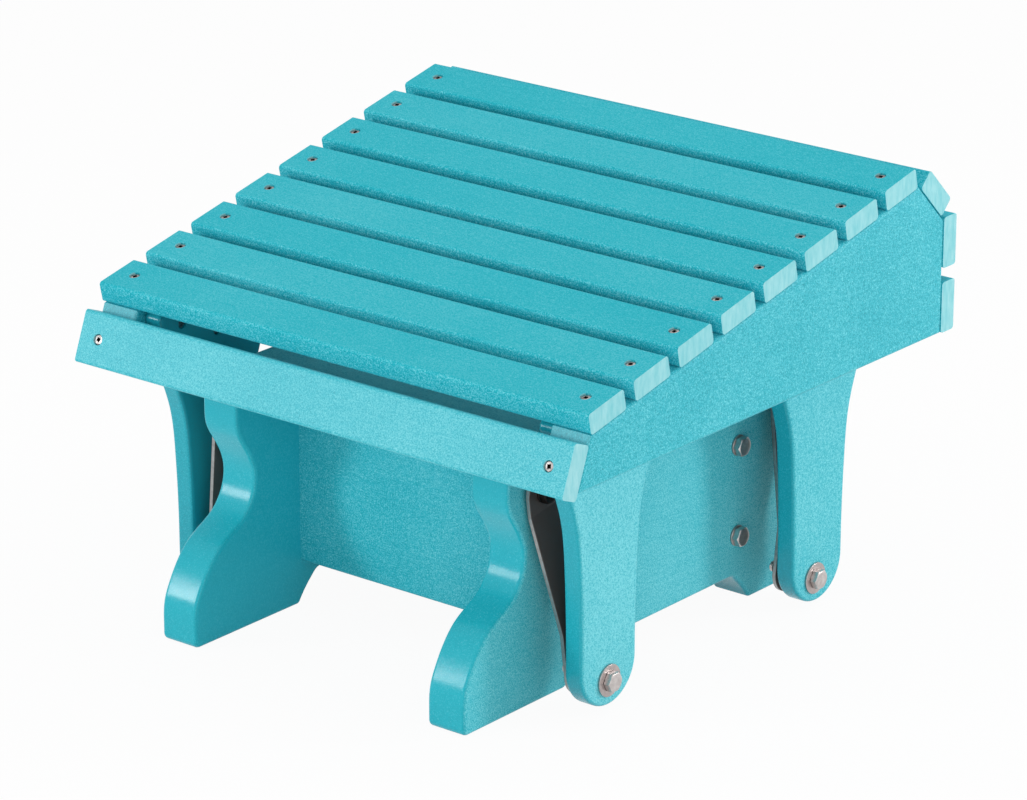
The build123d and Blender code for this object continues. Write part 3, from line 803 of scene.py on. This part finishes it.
@dataclass(frozen=True)
class DeckScrew:
    """Deck screw with a low domed head, a square socket and a plain shank that the boards hide.

    The dome runs between two shares of the head's radius.
    """

    head_r: float = 4.2 * MM
    head: float = 3.0 * MM
    dome_from: float = 0.62
    dome_to: float = 0.95
    dome_drop: float = 0.35 * MM
    dome_steps: int = 4
    rim: float = 0.9 * MM
    rim_band: float = 0.5 * MM
    shank_r: float = 2.1 * MM
    tip: float = 4.0 * MM
    socket: float = 3.3 * MM
    socket_depth: float = 2.0 * MM
    socket_rows: int = 3
    brim_depth: float = 0.25 * MM
    brim_flare: float = 1.08
    lip: float = 0.1 * MM
    lip_depth: float = 0.05 * MM
    around: int = 32

    def surface(self, length: float) -> tuple[np.ndarray, np.ndarray, np.ndarray]:
        """Work out the screw with its tip at height 0.

        The socket's walls stand at half its width divided by the larger of |cos a| and |sin a|, which is
        a square. The head's face falls off with the square of the radius, like a shallow dome.

        Args:
            length: From the tip to the top of the head.

        Returns:
            Points, faces, and the material slot of each face: 1 in the socket, whose finish is painted shade.
        """
        angle = angles(self.around)
        square = self.socket / 2 / np.maximum(np.abs(np.cos(angle)), np.abs(np.sin(angle)))
        dome_r = np.linspace(self.dome_from * self.head_r, self.dome_to * self.head_r, self.dome_steps)
        dome_z = length - self.dome_drop * (dome_r / self.head_r) ** 2
        corner = self.socket / 2 ** 0.5
        radius = np.concatenate([
            [0, corner, corner, corner + self.lip], dome_r,
            [self.head_r, self.head_r, self.shank_r, self.shank_r, 0]])
        height = np.concatenate([
            [length - self.socket_depth] * 2, [length - self.brim_depth, length - self.lip_depth], dome_z,
            [length - self.rim, length - self.rim - self.rim_band, length - self.head, self.tip, 0]])
        limit = np.full((len(radius), self.around), self.head_r)
        limit[1:self.socket_rows] = square
        limit[self.socket_rows] = square * self.brim_flare
        points, faces = spin(Profile(radius, height), limit)
        slots = np.repeat(np.arange(len(radius) - 1) < self.socket_rows, self.around).astype(np.int32)
        return points, faces, slots


@dataclass(frozen=True)
class ScrewSet:
    """One node's worth of deck screws, each on the axis of its CAD screw.

    The sockets turn by a step, in radians. A steep screw's side is squared from the steep aid.
    """

    node: str
    body: str
    finish: SteelFinish = SCREW_STEEL
    socket_painted_shade: SteelFinish = SOCKET_PAINTED_SHADE
    shape: DeckScrew = DeckScrew()
    turn_step: float = 0.7
    steep: float = 0.9
    steep_aid: Place = (1.0, 0.2, 0.1)
    level_aid: Place = (0.3, 0.2, 1.0)

    def axes(self, mesh: bpy.types.Mesh) -> list[tuple[np.ndarray, np.ndarray, float]]:
        """Find each CAD screw's line: the longest direction through the points that hang together.

        The head is at the end where a point lies furthest from the line.

        Args:
            mesh: The node's mesh.

        Returns:
            The tip, the direction from tip to head, and the length of each screw.
        """
        work = bmesh.new()
        work.from_mesh(mesh)
        bmesh.ops.remove_doubles(work, verts=work.verts, dist=MERGE_DISTANCE)
        left, found = set(work.verts), []
        while left:
            island, waiting = set(), [left.pop()]
            while waiting:
                vertex = waiting.pop()
                island.add(vertex)
                reached = {edge.other_vert(vertex) for edge in vertex.link_edges} & left
                left -= reached
                waiting.extend(reached)
            points = np.array([vertex.co[:] for vertex in island])
            middle = points.mean(axis=0)
            line = np.linalg.svd(points - middle, full_matrices=False)[2][0]
            along = (points - middle) @ line
            off = np.linalg.norm(points - middle - along[:, None] * line, axis=1)
            if along[off.argmax()] < 0:
                line, along = -line, -along
            found.append((middle + along.min() * line, line, float(np.ptp(along))))
        work.free()
        return sorted(found, key=lambda screw: tuple(screw[0].round(5)))

    def frame(self, line: np.ndarray, turn: float) -> np.ndarray:
        """Lay three square axes on a screw.

        Args:
            line: The screw's direction.
            turn: How far its socket is turned, in radians.

        Returns:
            The axes as rows; the last is the line.
        """
        side = np.cross(line, self.level_aid if abs(line[2]) < self.steep else self.steep_aid)
        side /= np.linalg.norm(side)
        first = np.cos(turn) * side + np.sin(turn) * np.cross(line, side)
        return np.stack([first, np.cross(line, first), line])

    def build(self, nodes: Nodes, wardrobe: Wardrobe) -> None:
        """Build the screws in place of their CAD node, each with its socket turned its own way.

        Args:
            nodes: The CAD nodes by name.
            wardrobe: Gives the finishes.
        """
        parts, slots = [], []
        for number, (tip, line, length) in enumerate(self.axes(nodes[self.node].data)):
            points, faces, face_slots = self.shape.surface(length)
            parts.append((points @ self.frame(line, number * self.turn_step) + tip, faces))
            slots.append(face_slots)
        piece = make_piece(f"{self.node}_detailed", *gather(parts), np.concatenate(slots))
        wardrobe.dress(piece, self.finish, self.socket_painted_shade)
        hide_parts(self.node)
        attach(piece, self.body)


@dataclass(frozen=True)
class FastenerSet:
    """One node's worth of equal fasteners, mirrored to either side.

    A seat is X on the right side and 1 or -1 for outward or inward, and a point is Y and Z.
    """

    node: str
    body: str
    shape: HexBolt | Washer | LockNut
    seats: tuple[tuple[float, int], ...]
    points: tuple[tuple[float, float], ...]
    finish: SteelFinish
    material_slot: str = "hardware_steel"

    def build(self, wardrobe: Wardrobe) -> None:
        """Build the set in place of its CAD node.

        Args:
            wardrobe: Gives the finishes.
        """
        points, faces = self.shape.surface()
        parts = [(stand_on(points, (side * x, y, z), side * outward), faces)
                 for y, z in self.points for side in SIDES for x, outward in self.seats]
        piece = make_piece(f"{self.node}_detailed", *gather(parts))
        wardrobe.dress(piece, self.finish)
        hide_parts(self.node)
        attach(piece, self.body)


@dataclass
class Hardware:
    """All bolts, nuts and washers, placed from the boxes of the CAD nodes.

    A ring is the radius of a CAD washer, and bolt_tip is how far a lower bolt stands out of its nut.
    """

    large_ring: float = 15.0 * MM
    small_ring: float = 10.0 * MM
    large_washer: Washer = field(default_factory=lambda: Washer(14.2 * MM))
    small_washer: Washer = field(default_factory=lambda: Washer(9.4 * MM))
    nut: LockNut = field(default_factory=LockNut)
    upper_bolt: HexBolt = field(default_factory=lambda: HexBolt(37.5 * MM))
    lower_bolt: HexBolt = field(default_factory=lambda: HexBolt(47.5 * MM))
    stretcher_bolt: HexBolt = field(default_factory=lambda: HexBolt(93.0 * MM, threaded=30.0 * MM))
    bolt_tip: float = 5.0 * MM
    same_height: float = 1.0 * MM

    def places(self, node: str, ring: float) -> tuple[tuple[float, float], ...]:
        """Y and Z of the washers of a node, which lie at the corners of its box.

        Args:
            node: A node of washers.
            ring: Their radius in the CAD model.

        Returns:
            Every corner's centre; two where all lie at one height.
        """
        low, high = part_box(node)
        bottom, top = low.z + ring, high.z - ring
        heights = (bottom, top) if top - bottom > self.same_height else ((bottom + top) / 2,)
        return tuple((y, z) for y in (low.y + ring, high.y - ring) for z in heights)

    def inner_washer_face(self) -> float:
        """X of the face on which the right side's lower nuts stand, on the side towards the middle."""
        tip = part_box("lower_pivot_bolts")[1].x - self.lower_bolt.head - self.lower_bolt.length
        return tip + self.bolt_tip + self.nut.height

    def build(self, wardrobe: Wardrobe) -> None:
        """Build every set.

        Args:
            wardrobe: Gives the finishes.
        """
        large, small, black = self.large_washer, self.small_washer, (BLACK_STEEL, "black_steel")
        panel_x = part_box("base_panel_right")[1].x
        leg_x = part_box("hanger_leg_front_right")[1].x
        upper_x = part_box("upper_pivot_washers")[1].x
        inner_x = self.inner_washer_face()
        upper = self.places("upper_pivot_washers", self.small_ring)
        lower = self.places("lower_pivot_washers", self.large_ring)
        stretcher = self.places("stretcher_washers", self.small_ring)
        sets = (
            ("stretcher_washers", "base", small, ((panel_x, 1),), stretcher, WASHER_STEEL),
            ("stretcher_bolts", "base", self.stretcher_bolt, ((panel_x + small.thick, 1),), stretcher, STEEL),
            ("upper_pivot_washers", "base", small, ((upper_x - small.thick, 1),), upper, *black),
            ("upper_pivot_bolts", "base", self.upper_bolt, ((upper_x, 1),), upper, *black),
            ("lower_pivot_washers", "seat", large, ((leg_x, 1), (inner_x + large.thick, -1)), lower,
             WASHER_STEEL),
            ("lower_pivot_nuts", "seat", self.nut, ((inner_x, -1),), lower, SHADED_NUT_STEEL),
            ("lower_pivot_bolts", "seat", self.lower_bolt, ((leg_x + large.thick, 1),), lower, STEEL),
        )
        for values in sets:
            FastenerSet(*values).build(wardrobe)


# ---- links ----
@dataclass(frozen=True)
class SwingLink:
    """A joggled flat bar, its sheared edges broken, and its two bushes."""

    name: str
    edge: float = 0.5 * MM
    segments: int = 2
    flat_angle: float = 1.0
    edge_angle: float = 40.0

    def build(self, nodes: Nodes, wardrobe: Wardrobe) -> None:
        """Build the bar over its CAD node and dress its bushes.

        Args:
            nodes: The CAD nodes by name.
            wardrobe: Gives the finishes.
        """
        work = bmesh.new()
        work.from_mesh(nodes[self.name].data)
        bmesh.ops.remove_doubles(work, verts=work.verts, dist=MERGE_DISTANCE)
        bmesh.ops.dissolve_limit(work, angle_limit=radians(self.flat_angle), verts=work.verts,
                                 edges=work.edges)
        mesh = bpy.data.meshes.new(f"{self.name}_bar")
        work.to_mesh(mesh)
        work.free()
        soften(mesh)
        bar = bpy.data.objects.new(f"{self.name}_bar", mesh)
        bpy.context.scene.collection.objects.link(bar)
        bevel = bar.modifiers.new("broken_edge", "BEVEL")
        bevel.width = self.edge
        bevel.segments = self.segments
        bevel.limit_method = "ANGLE"
        bevel.angle_limit = radians(self.edge_angle)
        wardrobe.dress(bar, COATED)
        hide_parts(self.name)
        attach(bar, self.name)
        wardrobe.dress(nodes[f"{self.name}_bushes"], NYLON)


# ---- boards ----
@dataclass(frozen=True)
class BoardSet:
    """Boards that were drawn the same way, each with its own stretch of pattern and its own lift, which is
    painted light and a little tone of its own.

    Two-faced boards have a calmer face towards the middle, which also takes the inner painted shade.
    """

    names: tuple[str, ...]
    finish: LumberFinish
    tones_and_painted_light: tuple[float, ...]
    two_faced: bool = False
    seed_step: float = 1.7

    def dress(self, nodes: Nodes, wardrobe: Wardrobe) -> None:
        """Give each board its finish.

        Args:
            nodes: The CAD nodes by name.
            wardrobe: Gives the finishes.
        """
        for number, name in enumerate(self.names):
            inner = (-1 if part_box(name)[0].x > 0 else 1) if self.two_faced else 0
            finish = replace(self.finish, name=f"lumber_{name}", seed=self.seed_step * number,
                             tone_and_painted_light=self.tones_and_painted_light[number % len(self.tones_and_painted_light)], inner_side=inner)
            wardrobe.dress(nodes[name], finish)


def cornered(stem: str) -> tuple[str, ...]:
    """Names of a kind of piece that stands at all four corners."""
    return tuple(f"{stem}_{end}_{side}" for end in ("front", "rear") for side in ("left", "right"))


SLATS = (*(f"top_slat_{number}" for number in range(1, 9)), "chamfer_slat", "back_slat_1", "back_slat_2")
APRON_FINISH = LumberFinish("apron", Grain.ACROSS, cut_share=1.0, speckle=0.9)
SLAT_FINISH = LumberFinish("slat", Grain.ACROSS, cut_share=1.0, calm_top=0.5, gloss=0.05)
RAIL_FINISH = LumberFinish("rail", Grain.FORE_AFT, cut_share=0.3, speckle=1.1)
# Legs and panels: routed edges, and the legs' inner faces, are darkened as painted shade.
LEG_FINISH = LumberFinish("leg", Grain.UPRIGHT, speckle=0.9, routed=0.9, routed_painted_shade=-0.26, inner_painted_shade=-0.35)
PANEL_FINISH = LumberFinish("panel", Grain.FORE_AFT, routed=1.0, routed_painted_shade=-0.03, gloss=0.24)
STRETCHER_FINISH = LumberFinish("stretcher", Grain.ACROSS, gloss=0.2)
TOP_BOARD_FINISH = LumberFinish("top_board", Grain.ACROSS, cut_share=1.0)


@dataclass
class SubAssembly:
    """A body's boards, screws and plain pieces of steel."""

    boards: tuple[BoardSet, ...]
    screws: tuple[ScrewSet, ...]
    steel: tuple[str, ...]

    def build(self, nodes: Nodes, wardrobe: Wardrobe) -> None:
        """Dress every board and fastener.

        Args:
            nodes: The CAD nodes by name.
            wardrobe: Gives the finishes.
        """
        for boards in self.boards:
            boards.dress(nodes, wardrobe)
        for screws in self.screws:
            screws.build(nodes, wardrobe)
        for name in self.steel:
            wardrobe.dress(nodes[name], STEEL)


@dataclass
class Seat(SubAssembly):
    """The swinging part: slats, rails, hanger legs and their screws."""

    boards: tuple[BoardSet, ...] = (
        # Lifts are painted light: paler boards where more light falls; the slats' small spread also varies
        # their tone.
        BoardSet(("front_apron",), APRON_FINISH, (0.18,)),
        BoardSet(SLATS, SLAT_FINISH, (0.08, 0.10, 0.06, 0.09, 0.07)),
        BoardSet(("seat_rail_left", "seat_rail_right"), RAIL_FINISH, (0.0, 0.03)),
        BoardSet(cornered("hanger_leg"), LEG_FINISH, (0.2, 0.38, 0.26, 0.26), two_faced=True))
    screws: tuple[ScrewSet, ...] = (
        ScrewSet("slat_screws", "seat"), ScrewSet("leg_screws", "seat", PAINTED_SHADE_SCREW, PAINTED_SHADE_SCREW))
    steel: tuple[str, ...] = ("lower_pivot_spacers",)


@dataclass
class Base(SubAssembly):
    """The standing part: end panels, stretchers, top boards and what joins them."""

    boards: tuple[BoardSet, ...] = (
        # Lifts are painted light; the top boards' large lift paints light into the shade under the seat.
        BoardSet(("base_panel_left", "base_panel_right"), PANEL_FINISH, (0.22, 0.27), two_faced=True),
        BoardSet(("base_stretcher_front", "base_stretcher_rear"), STRETCHER_FINISH, (0.07, 0.07)),
        BoardSet(("base_top_board_front", "base_top_board_rear"), TOP_BOARD_FINISH, (0.6, 0.6)))
    screws: tuple[ScrewSet, ...] = (ScrewSet("top_board_screws", "base"),)
    steel: tuple[str, ...] = ("stretcher_barrel_nuts", "upper_pivot_spacers", "upper_pivot_inserts")


# ---- studio ----
@dataclass(frozen=True)
class SoftBox:
    """A square lamp that looks at the middle of the ottoman."""

    name: str
    place: Place
    size: float
    power: float
    target: Place = (0.0, 0.0, 0.2)

    def build(self) -> None:
        """Add the lamp."""
        lamp = bpy.data.lights.new(self.name, "AREA")
        lamp.size = self.size
        lamp.energy = self.power
        obj = bpy.data.objects.new(self.name, lamp)
        obj.location = self.place
        obj.rotation_euler = (Vector(self.target) - Vector(self.place)).to_track_quat("-Z", "Y").to_euler()
        bpy.context.scene.collection.objects.link(obj)


@dataclass
class Studio:
    """White floor and sky, soft lamps, and the camera of the photograph.

    Sky is its strength as a light, and floor_glow the floor's share of plain white where it is seen.
    """

    camera_place: Place = (2.4365, -3.0204, 1.5676)
    camera_turn: float = 38.94
    camera_drop: float = 19.686
    focal_pixels: float = 4735.27
    frame_width_pixels: float = 1027.0
    sensor_mm: float = 36.0
    floor_half: float = 12.0
    floor_drop: float = 0.4 * MM
    floor_colour: tuple[float, ...] = (0.86, 0.86, 0.86, 1.0)
    floor_rough: float = 0.9
    floor_gloss: float = 0.1
    floor_glow: float = 0.95
    sky: float = 0.55
    lamps: tuple[SoftBox, ...] = (
        SoftBox("lamp_above", (0.3, 0.4, 2.6), 2.2, 15.0),
        SoftBox("lamp_right_rear", (2.2, 1.9, 0.9), 0.6, 27.0),
        SoftBox("lamp_front_left", (-2.0, -2.5, 0.95), 0.7, 31.0),
        SoftBox("lamp_front_right", (2.2, -2.3, 0.5), 2.0, 21.0))

    def add_camera(self) -> None:
        """Stand the camera where the photograph was taken from."""
        lens = bpy.data.cameras.new("photo_camera")
        lens.sensor_width = self.sensor_mm
        lens.lens = self.focal_pixels / self.frame_width_pixels * self.sensor_mm
        camera = bpy.data.objects.new("photo_camera", lens)
        camera.location = self.camera_place
        camera.rotation_euler = (radians(90 - self.camera_drop), 0, radians(self.camera_turn))
        bpy.context.scene.collection.objects.link(camera)
        bpy.context.scene.camera = camera

    def add_floor(self) -> None:
        """Lay a floor that looks white where it is seen, with a faint shadow."""
        half = self.floor_half
        mesh = bpy.data.meshes.new("floor")
        mesh.from_pydata([(-half, -half, 0), (half, -half, 0), (half, half, 0), (-half, half, 0)], [],
                         [(0, 1, 2, 3)])
        floor = bpy.data.objects.new("floor", mesh)
        floor.location.z = -self.floor_drop
        bpy.context.scene.collection.objects.link(floor)
        material, bench, shader, _ = start_material("floor_white")
        shader.inputs["Base Color"].default_value = self.floor_colour
        shader.inputs["Roughness"].default_value = self.floor_rough
        shader.inputs["Specular IOR Level"].default_value = self.floor_gloss
        glow = bench.add("ShaderNodeEmission", Color=(1, 1, 1, 1), Strength=1.0)
        share = bench.math("MULTIPLY", bench.seen(), self.floor_glow)
        mixed = bench.add("ShaderNodeMixShader", i0=share, i1=shader.outputs[0], i2=glow.outputs[0])
        bench.feed(bench.find("OUTPUT_MATERIAL"), Surface=mixed.outputs[0])
        mesh.materials.append(material)

    def add_world(self) -> None:
        """Surround everything with a soft sky that is plain white where it is seen."""
        world = bpy.data.worlds.new("studio_sky")
        world.use_nodes = True
        bpy.context.scene.world = world
        bench = NodeBench(world.node_tree)
        strength = bench.math("MULTIPLY_ADD", bench.seen(), 1.0 - self.sky, self.sky)
        bench.feed(bench.find("BACKGROUND"), Color=(1, 1, 1, 1), Strength=strength)

    def build(self) -> None:
        """Set up the floor, the world, the lamps and the camera."""
        bpy.context.scene.view_settings.view_transform = "Standard"
        self.add_floor()
        self.add_world()
        for lamp in self.lamps:
            lamp.build()
        self.add_camera()


def main() -> None:
    """Load the frame, set up the studio, and dress it."""
    logging.basicConfig(level=logging.INFO, format="%(name)s %(message)s")
    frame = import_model()
    wardrobe = Wardrobe()
    Studio().build()
    Seat().build(frame["nodes"], wardrobe)
    Base().build(frame["nodes"], wardrobe)
    for name in cornered("link"):
        SwingLink(name).build(frame["nodes"], wardrobe)
    Hardware().build(wardrobe)


if __name__ == "__main__":
    main()
